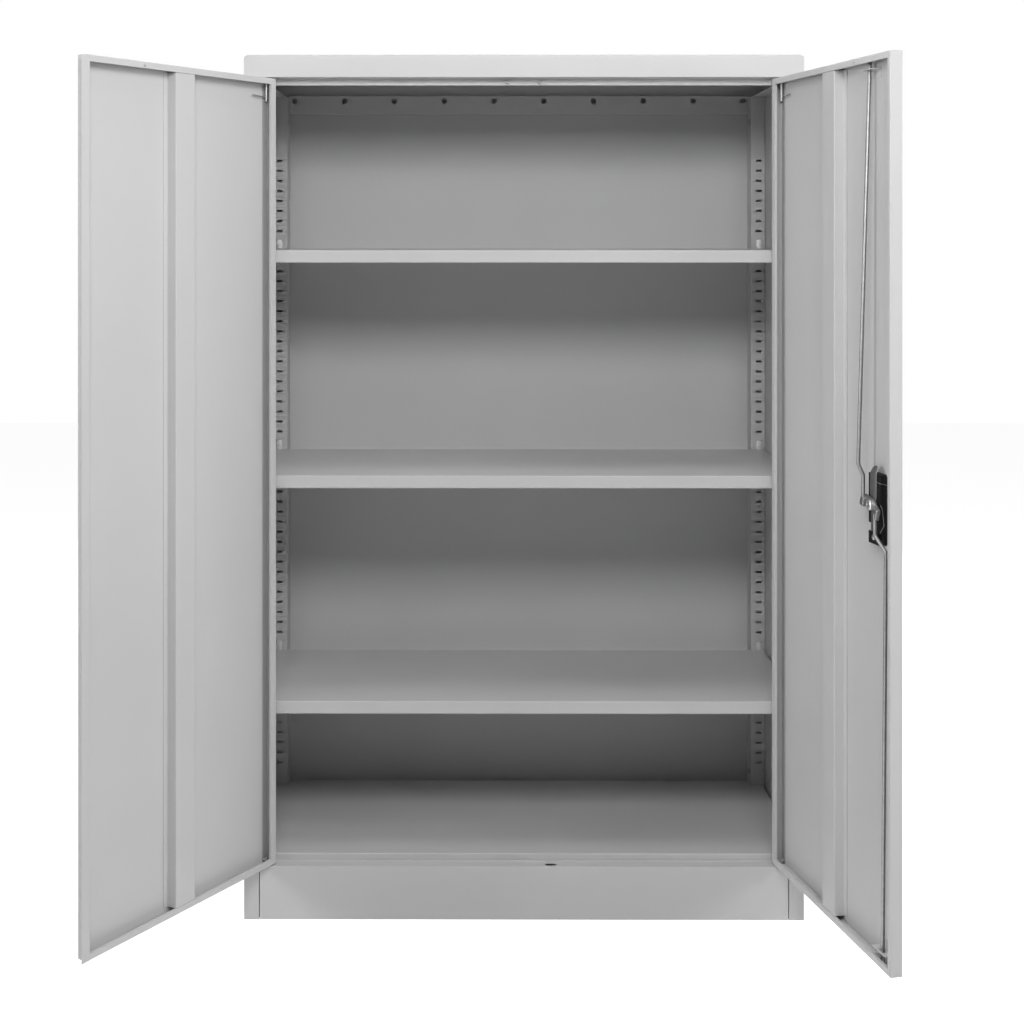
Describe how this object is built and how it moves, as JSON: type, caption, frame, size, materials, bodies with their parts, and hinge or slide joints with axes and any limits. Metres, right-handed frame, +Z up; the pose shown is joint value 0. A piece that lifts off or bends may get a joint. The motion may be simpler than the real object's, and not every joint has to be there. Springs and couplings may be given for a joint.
{
  "type": "metal storage cabinet",
  "caption": "Floor-standing sheet-steel cupboard with hinged double doors, adjustable clip-hung shelves and a rod lock that bolts one door at top and bottom.",
  "frame": {"origin": "on the floor, in the middle of the underside of the plinth foot", "axes": "+Z up, -Y towards the front, +X to the right of someone facing the cabinet"},
  "size_m": [1.1544, 0.8002, 1.39],
  "materials": {
    "powder_coat": "light grey powder coat, fine texture, satin",
    "bright_zinc": "bright zinc plating",
    "plain_steel": "plain rolled steel",
    "black_plastic": "moulded, fine satin grain",
    "bumper_rubber": "soft grey rubber"
  },
  "bodies": {
    "carcass": {"side_panel_left": "powder_coat", "side_panel_right": "powder_coat", "front_post_left": "powder_coat", "front_post_right": "powder_coat", "rear_post_left": "powder_coat", "rear_post_right": "powder_coat", "bumper_left": "bumper_rubber", "bumper_right": "bumper_rubber", "hinge_washer_left": "bright_zinc", "hinge_washer_right": "bright_zinc", "top_panel": "powder_coat", "header_rail": "powder_coat", "plinth": "powder_coat", "rear_top_rail": "powder_coat", "rear_base_rail": "powder_coat", "back_panel": "powder_coat", "floor_panel": "powder_coat", "shelf_upper": "powder_coat", "shelf_middle": "powder_coat", "shelf_lower": "powder_coat", "clip_upper_front_left": "bright_zinc", "clip_upper_front_right": "bright_zinc", "clip_upper_rear_left": "bright_zinc", "clip_upper_rear_right": "bright_zinc", "clip_middle_front_left": "bright_zinc", "clip_middle_front_right": "bright_zinc", "clip_middle_rear_left": "bright_zinc", "clip_middle_rear_right": "bright_zinc", "clip_lower_front_left": "bright_zinc", "clip_lower_front_right": "bright_zinc", "clip_lower_rear_left": "bright_zinc", "clip_lower_rear_right": "bright_zinc"},
    "door_left": {"door_pan_left": "powder_coat", "hinge_stile_left": "powder_coat", "stiffener_left": "powder_coat", "bottom_pin_left": "bright_zinc", "overlap_strip": "powder_coat"},
    "door_right": {"door_pan_right": "powder_coat", "hinge_stile_right": "powder_coat", "stiffener_right": "powder_coat", "bottom_pin_right": "bright_zinc", "lock_housing": "black_plastic", "lug_screw": "bright_zinc", "lock_bridge": "plain_steel", "rod_guide_upper": "powder_coat", "rod_guide_lower": "powder_coat"},
    "hinge_pin_left": {"top_pin_left": "bright_zinc"},
    "hinge_pin_right": {"top_pin_right": "bright_zinc"},
    "lock_rotor": {"lock_handle": "black_plastic", "lock_cam": "plain_steel", "cam_screw": "bright_zinc"},
    "key_plug": {"key_cylinder": "bright_zinc"},
    "upper_rod": {"rod_upper": "bright_zinc"},
    "lower_rod": {"rod_lower": "bright_zinc"}
  },
  "joints": [
    {"name": "left_door_hinge", "type": "hinge", "parent": "carcass", "child": "door_left", "pos_m": [-0.4145, -0.009, 0.7], "axis": [0, 0, 1], "range_deg": [-1, 120.97]},
    {"name": "right_door_hinge", "type": "hinge", "parent": "carcass", "child": "door_right", "pos_m": [0.4145, -0.009, 0.7], "axis": [0, 0, 1], "range_deg": [-102.16, 19]},
    {"name": "left_pin_slide", "type": "slide", "parent": "door_left", "child": "hinge_pin_left", "axis": [0, 0, -1], "range_m": [0, 0.012]},
    {"name": "right_pin_slide", "type": "slide", "parent": "door_right", "child": "hinge_pin_right", "axis": [0, 0, -1], "range_m": [0, 0.012]},
    {"name": "lock_turn", "type": "hinge", "parent": "door_right", "child": "lock_rotor", "pos_m": [0.48823, -0.35115, 0.7225], "axis": [0.9776, 0.2106, 0], "range_deg": [0, 90]},
    {"name": "key_turn", "type": "hinge", "parent": "lock_rotor", "child": "key_plug", "pos_m": [0.48823, -0.35115, 0.7225], "axis": [0.9776, 0.2106, 0], "range_deg": [0, 90]},
    {"name": "upper_rod_hook", "type": "hinge", "parent": "lock_rotor", "child": "upper_rod", "pos_m": [0.48429, -0.33289, 0.72967], "axis": [0.9776, 0.2106, 0], "range_deg": [-95, 3]},
    {"name": "lower_rod_hook", "type": "hinge", "parent": "lock_rotor", "child": "lower_rod", "pos_m": [0.49216, -0.3694, 0.71533], "axis": [0.9776, 0.2106, 0], "range_deg": [-95, 3]}
  ],
  "couplings": [
    {"joint": "upper_rod_hook", "follows": "lock_turn", "ratio": -1.0269},
    {"joint": "lower_rod_hook", "follows": "lock_turn", "ratio": -1.0267}
  ]
}
